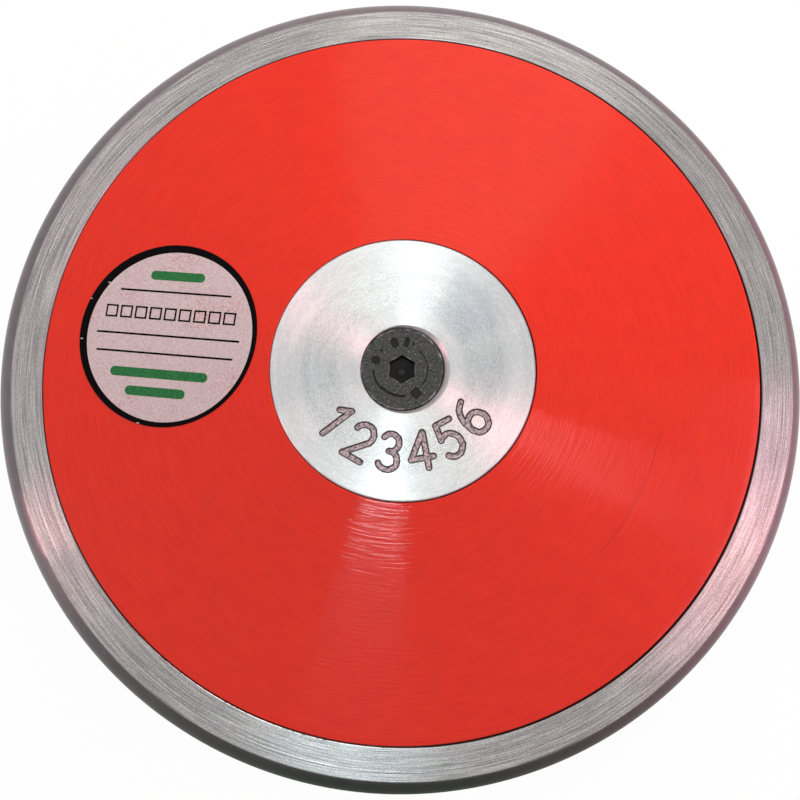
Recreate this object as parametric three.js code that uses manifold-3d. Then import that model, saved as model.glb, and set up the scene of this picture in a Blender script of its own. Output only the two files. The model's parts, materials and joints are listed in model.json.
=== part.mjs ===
// A throwing discus of a light youth size: a steel rim, two moulded plastic side plates, two turned
// aluminium hub plates, and the screwed centre that clamps them round a stack of balance washers.
// Millimetres, +Z up. The discus lies on its lower hub plate, and the origin is on the spin axis
// at that plate's flat face. Each upper piece is modelled about the mid-plane, and its lower twin
// is the same piece turned over.

import * as THREE from "three";
import { mergeVertices } from "three/addons/utils/BufferGeometryUtils.js";
import Module from "manifold-3d";

const wasm = await Module();
wasm.setup();

// Driving dimensions
const outsideDiameter = 166;
const centreThickness = 34; // over the two hub plates
const hubDiameter = 52.4; // the flat centre

// Fits
const seatGap = 0.2; // between faces that the centre screws clamp together
const plateClearance = 0.2; // radial, side plate in the rim
const hubClearance = 0.15; // radial, hub plate in the side plate
const boltClearance = 0.25; // radial, screw in the hub plate's hole
const threadClearance = 0.1; // radial, screw in the tapped spacer
const stackClearance = 0.3; // radial, washers and pads over the spacer
const stackGap = 0.1; // between one washer or pad and the next
const ribOverlap = 0.6; // how far a moulded rib starts inside the wall that carries it

// Rim
const rimEdgeBulge = 3; // radial depth of the rounded edge
const rimCreaseThickness = 9.8; // where the rounded edge meets the tapered faces
const rimFaceWidth = 6.7; // radial width of each tapered face
const rimLedgeWidth = 5.4; // the seat for a side plate
const rimBoreChamfer = 0.5;

// Side plate
const plateWall = 2.6;
const plateEdgeBevelWidth = 1.4;
const plateEdgeBevelDrop = 0.12;
const plateSkirtWall = 1.8; // the skirt that registers in the rim's bore
const plateSkirtGap = 0.9; // from the skirt's lower edge to the mid-plane
const plateCollarWall = 2.4; // round the bore that holds the hub plate's spigot
const plateCollarDepth = 2.2; // below the seat's underside
const ribCount = 12;
const ribThickness = 1.8;
const ribRootHeight = 5; // at the hub, below the wall
const ribTipHeight = 1.6; // at the skirt, below the wall

// Hub plate
const hubFlangeThickness = 3;
const hubEdgeChamfer = 0.25;
const hubSeatWidth = 4.2; // the flange's overlap on the side plate
const hubSpigotWall = 3;
const hubSpigotDepth = 4; // below the flange
const hubBossDiameter = 20;

// Centre screw, countersunk, with a hexagon socket
const screwDiameter = 8;
const screwHeadDiameter = 16.4;
const screwHeadLand = 0.45; // the straight edge above the cone
const screwHeadRecess = 0.5; // below the hub plate's face
const screwTipChamfer = 0.9;
const screwTipGap = 1; // between the two screws' tips, inside the spacer
const socketAcrossFlats = 5;
const socketDepth = 3;
const socketPointDepth = 0.9; // the drill's cone below the flats
const socketMouthChamfer = 0.25;

// Spacer and balance stack
const spacerDiameter = 16;
const spacerChamfer = 0.6;
const washerThickness = 2.4;
const washerCount = 3;
const washerPassClearance = 2; // radial, a washer through the side plate's bore
const padThickness = 2.7;
const padInset = 1; // a pad's edge inside a washer's

// Overrun of a cutting tool past the face that it cuts
const overrun = 1;

// Smoothness
const largeSteps = 72;
const smallSteps = 36;
const edgeArcSteps = 10;

// Derived sizes. Heights are above the mid-plane.
const outsideRadius = outsideDiameter / 2;
const halfThickness = centreThickness / 2;
const hubRadius = hubDiameter / 2;
const creaseRadius = outsideRadius - rimEdgeBulge;
const creaseHeight = rimCreaseThickness / 2;
const jointRadius = creaseRadius - rimFaceWidth;
const rimBoreRadius = jointRadius - rimLedgeWidth;
const taper = (halfThickness - creaseHeight) / (creaseRadius - hubRadius);
const taperHeight = (radius) => creaseHeight + taper * (creaseRadius - radius);

const plateRadius = jointRadius - plateClearance;
const plateEdgeHeight = taperHeight(plateRadius) - plateEdgeBevelDrop;
const plateFootHeight = plateEdgeHeight - plateWall;
const ledgeHeight = plateFootHeight - seatGap;
const skirtRadius = rimBoreRadius - plateClearance;
const recessRadius = hubRadius + hubClearance;
const hubSeatHeight = halfThickness - hubFlangeThickness;
const recessHeight = hubSeatHeight - seatGap;
const plateBoreRadius = hubRadius - hubSeatWidth;
const washerRadius = plateBoreRadius - washerPassClearance;

const stackHeight = 2 * padThickness + washerCount * washerThickness;
const stackJoints = washerCount + 3;
const spacerLength = stackHeight + stackJoints * stackGap;
const bossEndHeight = spacerLength / 2 + seatGap;
const headTopHeight = halfThickness - screwHeadRecess;
const screwTipHeight = screwTipGap / 2;

// A profile point: radius from the spin axis, and height above the mid-plane.
const at = (radius, height) => new THREE.Vector2(radius, height);

// The solid that a closed profile sweeps round the Z axis.
function turned(profile, steps) {
  const closed = [...profile, profile[0]];
  return new THREE.LatheGeometry(closed, steps).rotateX(Math.PI / 2);
}

function toSolid(geometry) {
  const bare = geometry.clone();
  bare.deleteAttribute("normal");
  bare.deleteAttribute("uv");
  const merged = mergeVertices(bare);
  return new wasm.Manifold(
    new wasm.Mesh({
      numProp: 3,
      vertProperties: new Float32Array(merged.attributes.position.array),
      triVerts: new Uint32Array(merged.index.array),
    }),
  );
}

function toGeometry(solid) {
  const mesh = solid.getMesh();
  const indexed = new THREE.BufferGeometry();
  indexed.setAttribute("position", new THREE.BufferAttribute(mesh.vertProperties, 3));
  indexed.setIndex(new THREE.BufferAttribute(mesh.triVerts, 1));
  const geometry = indexed.toNonIndexed();
  geometry.computeVertexNormals();
  return geometry;
}

// Points of the rim's rounded edge, from the lower crease over the widest point to the upper one.
function roundedEdge() {
  const radius = (creaseHeight ** 2 + rimEdgeBulge ** 2) / (2 * rimEdgeBulge);
  const half = Math.asin(creaseHeight / radius);
  const points = [];
  for (let step = 0; step <= edgeArcSteps; step += 1) {
    const angle = half * ((2 * step) / edgeArcSteps - 1);
    points.push(
      at(outsideRadius - radius + radius * Math.cos(angle), radius * Math.sin(angle)),
    );
  }
  return points;
}

// The rim: two tapered faces, a rounded edge, and a ledge each side that a side plate lies on.
function rim() {
  const jointHeight = taperHeight(jointRadius);
  const upper = [
    at(jointRadius, jointHeight),
    at(jointRadius, ledgeHeight),
    at(rimBoreRadius + rimBoreChamfer, ledgeHeight),
    at(rimBoreRadius, ledgeHeight - rimBoreChamfer),
  ];
  const lower = upper.map((point) => at(point.x, -point.y)).reverse();
  return turned([...lower, ...roundedEdge(), ...upper], largeSteps);
}

// One rib of a side plate, upright in the XZ plane: its top runs inside the tapered wall.
function plateRib(innerRadius, outerRadius) {
  const wallMiddle = plateWall / 2;
  const wallUnderside = (radius) => taperHeight(radius) - plateWall;
  const outline = new THREE.Shape([
    at(innerRadius, wallUnderside(innerRadius) - ribRootHeight),
    at(outerRadius, wallUnderside(outerRadius) - ribTipHeight),
    at(outerRadius, taperHeight(outerRadius) - wallMiddle),
    at(innerRadius, taperHeight(innerRadius) - wallMiddle),
  ]);
  return new THREE.ExtrudeGeometry(outline, { depth: ribThickness, bevelEnabled: false })
    .translate(0, 0, -ribThickness / 2)
    .rotateX(Math.PI / 2);
}

// A side plate: a dished moulding with a skirt in the rim's bore, a recess and a collar for the
// hub plate, and radial ribs inside.
function sidePlate() {
  const wallUnderside = (radius) => taperHeight(radius) - plateWall;
  const skirtInner = skirtRadius - plateSkirtWall;
  const bevelRadius = plateRadius - plateEdgeBevelWidth;
  const recessOuter = recessRadius + plateWall;
  const seatUnderside = recessHeight - plateWall;
  const collarRadius = plateBoreRadius + plateCollarWall;
  const collarEnd = seatUnderside - plateCollarDepth;
  let solid = toSolid(
    turned(
      [
        at(skirtInner, plateSkirtGap),
        at(skirtRadius, plateSkirtGap),
        at(skirtRadius, plateFootHeight),
        at(plateRadius, plateFootHeight),
        at(plateRadius, plateEdgeHeight),
        at(bevelRadius, taperHeight(bevelRadius)),
        at(recessRadius, taperHeight(recessRadius)),
        at(recessRadius, recessHeight),
        at(plateBoreRadius, recessHeight),
        at(plateBoreRadius, collarEnd),
        at(collarRadius, collarEnd),
        at(collarRadius, seatUnderside),
        at(recessOuter, seatUnderside),
        at(recessOuter, wallUnderside(recessOuter)),
        at(skirtInner, wallUnderside(skirtInner)),
      ],
      largeSteps,
    ),
  );
  const rib = plateRib(recessOuter - ribOverlap, skirtInner + ribOverlap);
  for (let index = 0; index < ribCount; index += 1) {
    const turn = ((index + 1 / 2) * 2 * Math.PI) / ribCount;
    solid = solid.add(toSolid(rib.clone().rotateZ(turn)));
  }
  return toGeometry(solid);
}

// A hub plate: a flat flange, a spigot ring in the side plate's bore, and a countersunk boss that
// bears on the spacer.
function hubPlate() {
  const mouthRadius = screwHeadDiameter / 2 + screwHeadRecess;
  const landHeight = headTopHeight - screwHeadLand;
  const holeRadius = screwDiameter / 2 + boltClearance;
  const countersinkRadius = screwHeadDiameter / 2 + hubClearance;
  const spigotRadius = plateBoreRadius - hubClearance;
  const spigotInner = spigotRadius - hubSpigotWall;
  const spigotEnd = hubSeatHeight - hubSpigotDepth;
  const bossRadius = hubBossDiameter / 2;
  return turned(
    [
      at(holeRadius, bossEndHeight),
      at(bossRadius, bossEndHeight),
      at(bossRadius, hubSeatHeight),
      at(spigotInner, hubSeatHeight),
      at(spigotInner, spigotEnd),
      at(spigotRadius, spigotEnd),
      at(spigotRadius, hubSeatHeight),
      at(hubRadius, hubSeatHeight),
      at(hubRadius, halfThickness - hubEdgeChamfer),
      at(hubRadius - hubEdgeChamfer, halfThickness),
      at(mouthRadius, halfThickness),
      at(countersinkRadius, headTopHeight),
      at(countersinkRadius, landHeight),
      at(holeRadius, landHeight - (countersinkRadius - holeRadius)),
    ],
    largeSteps,
  );
}

// The hexagon socket as a cutting tool: six flats, a drill's cone below, and a chamfered mouth.
function socketCutter() {
  const cornerRadius = socketAcrossFlats / Math.sqrt(3);
  const flatRadius = socketAcrossFlats / 2;
  const mouthRadius = flatRadius + socketMouthChamfer;
  const floor = headTopHeight - socketDepth;
  const prismTop = headTopHeight + overrun;
  const prism = new THREE.CylinderGeometry(cornerRadius, cornerRadius, prismTop - floor, 6)
    .rotateX(Math.PI / 2)
    .translate(0, 0, (prismTop + floor) / 2);
  const point = turned(
    [
      at(0, floor - socketPointDepth),
      at(flatRadius, floor),
      at(flatRadius, floor + socketPointDepth),
      at(0, floor + socketPointDepth),
    ],
    smallSteps,
  );
  const chamferDepth = 2 * socketMouthChamfer;
  const mouth = turned(
    [
      at(0, headTopHeight - chamferDepth),
      at(mouthRadius - chamferDepth, headTopHeight - chamferDepth),
      at(mouthRadius + overrun, headTopHeight + overrun),
      at(0, headTopHeight + overrun),
    ],
    smallSteps,
  );
  return toSolid(prism).add(toSolid(point)).add(toSolid(mouth));
}

// A centre screw, with its head's cone parallel to the hub plate's countersink.
function centreScrew() {
  const headRadius = screwHeadDiameter / 2;
  const shankRadius = screwDiameter / 2;
  const landHeight = headTopHeight - screwHeadLand;
  const blank = turned(
    [
      at(0, screwTipHeight),
      at(shankRadius - screwTipChamfer, screwTipHeight),
      at(shankRadius, screwTipHeight + screwTipChamfer),
      at(shankRadius, landHeight - (headRadius - shankRadius)),
      at(headRadius, landHeight),
      at(headRadius, headTopHeight),
      at(0, headTopHeight),
    ],
    smallSteps,
  );
  return toGeometry(toSolid(blank).subtract(socketCutter()));
}

// The tapped spacer that both screws pull against, and that sets the thickness over the hub plates.
function centreSpacer() {
  const outer = spacerDiameter / 2;
  const inner = screwDiameter / 2 + threadClearance;
  const end = spacerLength / 2;
  const shoulder = end - spacerChamfer;
  return turned(
    [
      at(inner, -end),
      at(outer - spacerChamfer, -end),
      at(outer, -shoulder),
      at(outer, shoulder),
      at(outer - spacerChamfer, end),
      at(inner, end),
    ],
    smallSteps,
  );
}

// A flat ring round the spacer, from its own bottom face up: a balance washer or a rubber pad.
function flatRing(outerRadius, thickness) {
  const inner = spacerDiameter / 2 + stackClearance;
  return turned(
    [at(inner, 0), at(outerRadius, 0), at(outerRadius, thickness), at(inner, thickness)],
    smallSteps,
  );
}

const material = (color, metalness, roughness) =>
  new THREE.MeshStandardMaterial({ color, metalness, roughness });

const steel = material(0xa9a6a2, 1, 0.38);
const redPlastic = material(0xe6382a, 0, 0.35);
const aluminium = material(0xdcdcda, 1, 0.28);
const blackSteel = material(0x2d2d2c, 0.6, 0.5);
const rawSteel = material(0x8d8d8c, 1, 0.5);
const rubber = material(0x1c1c1c, 0, 0.85);

const discus = new THREE.Group();
const midPlane = new THREE.Group();
const lowerHalf = new THREE.Group();
midPlane.position.z = halfThickness;
lowerHalf.rotation.x = Math.PI;
discus.add(midPlane);
midPlane.add(lowerHalf);

function place(parent, name, geometry, finish, height = 0) {
  const mesh = new THREE.Mesh(geometry, finish);
  mesh.name = name;
  mesh.position.z = height;
  parent.add(mesh);
}

for (const [side, parent] of [
  ["upper", midPlane],
  ["lower", lowerHalf],
]) {
  place(parent, `${side}_side_plate`, sidePlate(), redPlastic);
  place(parent, `${side}_hub_plate`, hubPlate(), aluminium);
  place(parent, `${side}_centre_screw`, centreScrew(), blackSteel);
}

place(midPlane, "rim", rim(), steel);
place(midPlane, "centre_spacer", centreSpacer(), rawSteel);

// The balance stack, from the lower hub plate's boss up: a pad, the washers, and a pad.
const padRadius = washerRadius - padInset;
let stackTop = stackGap - spacerLength / 2;
place(midPlane, "lower_pad", flatRing(padRadius, padThickness), rubber, stackTop);
stackTop += padThickness + stackGap;
for (let number = 1; number <= washerCount; number += 1) {
  const washer = flatRing(washerRadius, washerThickness);
  place(midPlane, `balance_washer_${number}`, washer, rawSteel, stackTop);
  stackTop += washerThickness + stackGap;
}
place(midPlane, "upper_pad", flatRing(padRadius, padThickness), rubber, stackTop);

export default discus;
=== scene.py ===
# A throwing discus dressed for a product picture: a turned steel rim, two red moulded side plates,
# turned aluminium hub plates, black centre screws and a round sticker, on a plain white floor.
# Shapes are made in millimetres above the discus's mid-plane, as turned outlines of (radius,
# height), and go into the frame in metres when a piece is placed.

import json
import math
import random

import bmesh
import bpy
from mathutils import Matrix, Vector

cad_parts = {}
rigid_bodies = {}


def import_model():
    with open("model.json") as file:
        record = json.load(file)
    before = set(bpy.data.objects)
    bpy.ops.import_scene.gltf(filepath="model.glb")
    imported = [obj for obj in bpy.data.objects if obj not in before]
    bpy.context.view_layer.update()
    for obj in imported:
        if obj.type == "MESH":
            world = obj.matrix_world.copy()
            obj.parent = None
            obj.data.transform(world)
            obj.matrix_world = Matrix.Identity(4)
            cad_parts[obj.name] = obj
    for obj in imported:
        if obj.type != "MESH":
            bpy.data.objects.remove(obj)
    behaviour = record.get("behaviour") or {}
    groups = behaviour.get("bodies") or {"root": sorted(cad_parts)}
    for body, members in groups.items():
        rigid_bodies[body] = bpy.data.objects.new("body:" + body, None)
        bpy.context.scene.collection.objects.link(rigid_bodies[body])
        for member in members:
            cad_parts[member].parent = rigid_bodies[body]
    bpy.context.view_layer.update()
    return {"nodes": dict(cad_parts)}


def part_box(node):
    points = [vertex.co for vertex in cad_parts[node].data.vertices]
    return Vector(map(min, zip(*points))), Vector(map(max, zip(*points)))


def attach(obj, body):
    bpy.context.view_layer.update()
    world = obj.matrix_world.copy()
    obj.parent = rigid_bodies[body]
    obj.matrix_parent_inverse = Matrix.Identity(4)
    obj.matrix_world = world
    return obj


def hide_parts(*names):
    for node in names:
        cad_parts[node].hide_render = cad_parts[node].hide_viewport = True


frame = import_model()

MM = 0.001


def top_corner(node):
    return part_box(node)[1] / MM


# Sizes that the frame gives
OUTSIDE_RADIUS = top_corner("rim").x
HALF_THICKNESS = top_corner("upper_hub_plate").z / 2
HUB_RADIUS = top_corner("upper_hub_plate").x
PLATE_RADIUS = top_corner("upper_side_plate").x
HEAD_RADIUS = top_corner("upper_centre_screw").x
HEAD_TOP = top_corner("upper_centre_screw").z - HALF_THICKNESS
SCREW_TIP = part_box("upper_centre_screw")[0].z / MM - HALF_THICKNESS
SPACER_END = top_corner("centre_spacer").z - HALF_THICKNESS

# Rim, as in the frame
EDGE_BULGE = 3
CREASE_HEIGHT = 4.9
RIM_FACE_WIDTH = 6.7
RIM_LEDGE_WIDTH = 5.4
RIM_BORE_CHAMFER = 0.5
PLATE_CLEARANCE = 0.2
SEAT_GAP = 0.2

# How far plates and hubs sit off the spin axis, within their clearances, and how far the rim's
# bore and faces were turned off it
RIM_SHIFT = Vector((0.35, -0.18))
PLATE_SHIFT = Vector((0.22, -0.1))
HUB_SHIFT = Vector((0.13, 0))

# Side plate, as in the frame
PLATE_WALL = 2.6
PLATE_BEVEL_WIDTH = 1.4
PLATE_BEVEL_DROP = 0.12
SKIRT_WALL = 1.8
SKIRT_GAP = 0.9
COLLAR_WALL = 2.4
COLLAR_DEPTH = 2.2
RIB_COUNT = 12
RIB_THICKNESS = 1.8
RIB_ROOT_HEIGHT = 5
RIB_TIP_HEIGHT = 1.6
RIB_OVERLAP = 0.6

# Hub plate, as in the frame
HUB_CLEARANCE = 0.15
FLANGE_THICKNESS = 3
HUB_EDGE_CHAMFER = 0.25
HUB_SEAT_WIDTH = 4.2
SPIGOT_WALL = 3
SPIGOT_DEPTH = 4
BOSS_RADIUS = 10
BOLT_CLEARANCE = 0.25

# Centre screw, as in the frame
SHANK_RADIUS = 4
HEAD_LAND = 0.45
TIP_CHAMFER = 0.9
SOCKET_ACROSS_FLATS = 5
SOCKET_DEPTH = 3
SOCKET_POINT_DEPTH = 0.9

# Finer than in the frame
SOCKET_MOUTH_CHAMFER = 0.13
SOCKET_END_RADIUS = 0.65

# Small roundings that catch the light
RIM_FILLET = 0.28
CREASE_FILLET = 0.7
PLATE_FILLET = 0.2
RECESS_FILLET = 0.12
HUB_FILLET = 0.1
MOUTH_FILLET = 0.4
HEAD_FILLET = 0.3
INNER_FILLET = 0.2

# Smoothness
LARGE_STEPS = 288
SMALL_STEPS = 144
FILLET_STEPS = 5
EDGE_STEPS = 28
CAP_STEPS = 8
SHARP_ANGLE = math.radians(32)
NORMAL_WEIGHT = 100  # the large faces shape the normals

OVERRUN = 0.5  # of a cutting tool past the face that it cuts
TOUCHING = 1e-5  # nearer than this counts as one place
SQUARE = ((-1, -1), (1, -1), (1, 1), (-1, 1))  # its corners in turn, from the middle

CREASE_RADIUS = OUTSIDE_RADIUS - EDGE_BULGE
JOINT_RADIUS = CREASE_RADIUS - RIM_FACE_WIDTH
BORE_RADIUS = JOINT_RADIUS - RIM_LEDGE_WIDTH
TAPER = (HALF_THICKNESS - CREASE_HEIGHT) / (CREASE_RADIUS - HUB_RADIUS)
SLOPE = math.atan(TAPER)
APEX_HEIGHT = CREASE_HEIGHT + TAPER * CREASE_RADIUS
HUB_SEAT_HEIGHT = HALF_THICKNESS - FLANGE_THICKNESS
PLATE_BORE_RADIUS = HUB_RADIUS - HUB_SEAT_WIDTH


def taper_height(radius):
    return APEX_HEIGHT - TAPER * radius


PLATE_EDGE_HEIGHT = taper_height(PLATE_RADIUS) - PLATE_BEVEL_DROP
PLATE_FOOT_HEIGHT = PLATE_EDGE_HEIGHT - PLATE_WALL


# Meshes


def rounded(corners):
    """The closed outline through (radius, height, fillet) corners, with its fillets as arcs."""
    points = []
    for index, (radius, height, fillet) in enumerate(corners):
        here = Vector((radius, height))
        if not fillet:
            points.append(here)
            continue
        towards = [Vector(corners[near][:2]) - here for near in (index - 1, (index + 1) % len(corners))]
        back, ahead = (step.normalized() for step in towards)
        half = back.angle(ahead) / 2
        reach = fillet / math.tan(half)
        centre = here + (back + ahead).normalized() * (fillet / math.sin(half))
        first, last = here + back * reach - centre, here + ahead * reach - centre
        for step in range(FILLET_STEPS + 1):
            points.append(centre + slerp(first, last, step / FILLET_STEPS))
    return points


def slerp(first, last, share):
    """A vector turned from first to last, both of one length."""
    angle = first.angle(last)
    if angle < TOUCHING:
        return first.lerp(last, share)
    from_first = math.sin((1 - share) * angle) / math.sin(angle)
    from_last = math.sin(share * angle) / math.sin(angle)
    return first * from_first + last * from_last


def rotated(vector, angle):
    cosine, sine = math.cos(angle), math.sin(angle)
    return Vector((vector.x * cosine - vector.y * sine, vector.x * sine + vector.y * cosine))


def on_circle(radius, degrees):
    angle = math.radians(degrees)
    return Vector((math.cos(angle), math.sin(angle))) * radius


def join(solid, ring, following):
    """Adds the faces between two rings of corners, either of which may be a single point."""
    count = max(len(ring), len(following))
    for step in range(count if count > 1 else 0):
        ahead = (step + 1) % count
        corners = [
            ring[step % len(ring)],
            ring[ahead % len(ring)],
            following[ahead % len(following)],
            following[step % len(following)],
        ]
        solid.faces.new(list(dict.fromkeys(corners)))


def turned(outline, steps):
    """The solid that a closed outline of (radius, height) sweeps round the spin axis."""
    solid = bmesh.new()
    rings = []
    for radius, height in outline:
        count = steps if radius > TOUCHING else 1
        ring = []
        for step in range(count):
            angle = math.tau * step / steps
            ring.append(solid.verts.new((radius * math.cos(angle), radius * math.sin(angle), height)))
        rings.append(ring)
    for index, ring in enumerate(rings):
        join(solid, ring, rings[(index + 1) % len(rings)])
    bmesh.ops.recalc_face_normals(solid, faces=solid.faces)
    return solid


def to_mesh(solid, name):
    mesh = bpy.data.meshes.new(name)
    solid.to_mesh(mesh)
    solid.free()
    return mesh


def linked(name, data):
    """A new object in the scene."""
    piece = bpy.data.objects.new(name, data)
    bpy.context.scene.collection.objects.link(piece)
    return piece


def make_slots(mesh, count):
    """Gives the mesh at least that many material slots."""
    while len(mesh.materials) < count:
        mesh.materials.append(None)


def combined(mesh, operation, tools):
    """The mesh after a boolean with several closed tool meshes."""
    target = linked("target", mesh)
    holder = bpy.data.collections.new("tools")
    for tool in tools:
        holder.objects.link(bpy.data.objects.new("tool", tool))
    modifier = target.modifiers.new("boolean", "BOOLEAN")
    modifier.operation = operation
    modifier.solver = "EXACT"
    modifier.operand_type = "COLLECTION"
    modifier.collection = holder
    evaluated = target.evaluated_get(bpy.context.evaluated_depsgraph_get())
    result = bpy.data.meshes.new_from_object(evaluated)
    for tool in list(holder.objects):
        bpy.data.objects.remove(tool)
    bpy.data.collections.remove(holder)
    bpy.data.objects.remove(target)
    return result


def swept(path, levels):
    """A closed solid along a flat path with round ends: levels are (half width, height) pairs."""
    solid = bmesh.new()
    loops = []
    for half_width, height in levels:
        loop = []
        for run in (path, path[::-1]):
            for index, point in enumerate(run):
                ahead = run[min(index + 1, len(run) - 1)] - run[max(index - 1, 0)]
                left = Vector((-ahead.y, ahead.x)).normalized()
                loop.append(point + left * half_width)
            last = (run[-1] - run[-2]).normalized()
            for step in range(1, CAP_STEPS):
                turn = math.pi / 2 - math.pi * step / CAP_STEPS
                loop.append(run[-1] + rotated(last, turn) * half_width)
        loops.append([solid.verts.new((point.x, point.y, height)) for point in loop])
    for lower, upper in zip(loops, loops[1:]):
        join(solid, lower, upper)
    ends = [solid.faces.new(loops[0]), solid.faces.new(loops[-1])]
    bmesh.ops.triangulate(solid, faces=ends)
    bmesh.ops.recalc_face_normals(solid, faces=solid.faces)
    return solid


def place(name, mesh, materials, node=None, lower=False, shift=(0, 0)):
    """Puts a piece in the frame, from a mesh in millimetres about the mid-plane."""
    turn = Matrix.Rotation(math.pi, 4, "X") if lower else Matrix.Identity(4)
    mesh = mesh.copy()
    mesh.transform(Matrix.Scale(MM, 4) @ Matrix.Translation((*shift, HALF_THICKNESS)) @ turn)
    mesh.name = name
    make_slots(mesh, len(materials))
    for index, material in enumerate(materials):
        mesh.materials[index] = material
    mesh.shade_smooth()
    mesh.set_sharp_from_angle(angle=SHARP_ANGLE)
    piece = linked(name, mesh)
    normals = piece.modifiers.new("normals", "WEIGHTED_NORMAL")
    normals.keep_sharp = True
    normals.weight = NORMAL_WEIGHT
    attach(piece, "root")
    if node:
        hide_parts(node)


# Rim

RIM_SCORE_PLACES = (1.6, 2.25)  # in from the crease
RIM_SCORE_WIDTH = 0.14
RIM_SCORE_DEPTH = 0.05


def rim_mesh():
    edge_radius = (CREASE_HEIGHT**2 + EDGE_BULGE**2) / (2 * EDGE_BULGE)
    edge_half = math.asin(CREASE_HEIGHT / edge_radius)
    edge_centre = OUTSIDE_RADIUS - edge_radius
    ledge_height = PLATE_FOOT_HEIGHT - SEAT_GAP
    face = []
    for inwards in RIM_SCORE_PLACES:
        for aside, depth in ((-RIM_SCORE_WIDTH, 0), (0, RIM_SCORE_DEPTH), (RIM_SCORE_WIDTH, 0)):
            radius = CREASE_RADIUS - inwards - aside
            face.append((radius, taper_height(radius) - depth, 0))
    upper = [
        (CREASE_RADIUS, CREASE_HEIGHT, CREASE_FILLET),
        *face,
        (JOINT_RADIUS, taper_height(JOINT_RADIUS), RIM_FILLET),
        (JOINT_RADIUS, ledge_height, 0),
        (BORE_RADIUS + RIM_BORE_CHAMFER, ledge_height, 0),
        (BORE_RADIUS, ledge_height - RIM_BORE_CHAMFER, 0),
    ]
    lower = [(radius, -height, fillet) for radius, height, fillet in reversed(upper)]
    edge = []
    for step in range(1, EDGE_STEPS):
        angle = edge_half * (2 * step / EDGE_STEPS - 1)
        edge.append((edge_centre + edge_radius * math.cos(angle), edge_radius * math.sin(angle), 0))
    rim = turned(rounded([*lower, *edge, *upper]), LARGE_STEPS)
    for corner in rim.verts:
        # The bore and the faces move, and the widest circle of the edge stays
        on_edge = corner.co.xy.length > CREASE_RADIUS
        share = min(1, (corner.co.z / CREASE_HEIGHT) ** 2) if on_edge else 1
        corner.co.xy += RIM_SHIFT * share
    return to_mesh(rim, "rim")


# Side plates


def rib_mesh(inner_radius, outer_radius, turn):
    """One rib, upright along its radius, with its top inside the tapered wall."""
    middle = PLATE_WALL / 2
    side = [
        (inner_radius, taper_height(inner_radius) - PLATE_WALL - RIB_ROOT_HEIGHT),
        (outer_radius, taper_height(outer_radius) - PLATE_WALL - RIB_TIP_HEIGHT),
        (outer_radius, taper_height(outer_radius) - middle),
        (inner_radius, taper_height(inner_radius) - middle),
    ]
    rib = bmesh.new()
    half = RIB_THICKNESS / 2
    near = [rib.verts.new((radius, -half, height)) for radius, height in side]
    far = [rib.verts.new((radius, half, height)) for radius, height in side]
    rib.faces.new(near)
    rib.faces.new(far)
    join(rib, near, far)
    bmesh.ops.recalc_face_normals(rib, faces=rib.faces)
    bmesh.ops.rotate(rib, verts=rib.verts, matrix=Matrix.Rotation(turn, 3, "Z"))
    return to_mesh(rib, "rib")


def side_plate_mesh():
    skirt_radius = BORE_RADIUS - PLATE_CLEARANCE
    skirt_inner = skirt_radius - SKIRT_WALL
    bevel_radius = PLATE_RADIUS - PLATE_BEVEL_WIDTH
    recess_radius = HUB_RADIUS + HUB_CLEARANCE
    recess_outer = recess_radius + PLATE_WALL
    recess_height = HUB_SEAT_HEIGHT - SEAT_GAP
    seat_underside = recess_height - PLATE_WALL
    collar_radius = PLATE_BORE_RADIUS + COLLAR_WALL
    collar_end = seat_underside - COLLAR_DEPTH
    outline = [
        (skirt_inner, SKIRT_GAP, 0),
        (skirt_radius, SKIRT_GAP, INNER_FILLET),
        (skirt_radius, PLATE_FOOT_HEIGHT, 0),
        (PLATE_RADIUS, PLATE_FOOT_HEIGHT, 0),
        (PLATE_RADIUS, PLATE_EDGE_HEIGHT, PLATE_FILLET),
        (bevel_radius, taper_height(bevel_radius), 0),
        (recess_radius, taper_height(recess_radius), RECESS_FILLET),
        (recess_radius, recess_height, 0),
        (PLATE_BORE_RADIUS, recess_height, INNER_FILLET),
        (PLATE_BORE_RADIUS, collar_end, INNER_FILLET),
        (collar_radius, collar_end, INNER_FILLET),
        (collar_radius, seat_underside, 0),
        (recess_outer, seat_underside, 0),
        (recess_outer, taper_height(recess_outer) - PLATE_WALL, INNER_FILLET),
        (skirt_inner, taper_height(skirt_inner) - PLATE_WALL, 0),
    ]
    shell = to_mesh(turned(rounded(outline), LARGE_STEPS), "side_plate")
    ribs = []
    for index in range(RIB_COUNT):
        turn = math.tau * (index + 0.5) / RIB_COUNT
        ribs.append(rib_mesh(recess_outer - RIB_OVERLAP, skirt_inner + RIB_OVERLAP, turn))
    return combined(shell, "UNION", ribs)


# Hub plates

# Material slots of a hub plate or a screw: its surface, what is engraved, and the countersink's
# mouth on the one or the worn mouth of the socket on the other
SURFACE, ENGRAVED, MOUTH = range(3)
SLOT_COUNT = 3

COUNTERSINK_GAP = 0.17  # round the screw's head
COUNTERSINK_RADIUS = HEAD_RADIUS + COUNTERSINK_GAP
MOUTH_WIDTH = 0.5
MOUTH_RADIUS = COUNTERSINK_RADIUS + MOUTH_WIDTH
MOUTH_SHIFT = Vector((0.45, -0.08))  # the mouth was cut off the middle, so it is wider on one side


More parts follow.
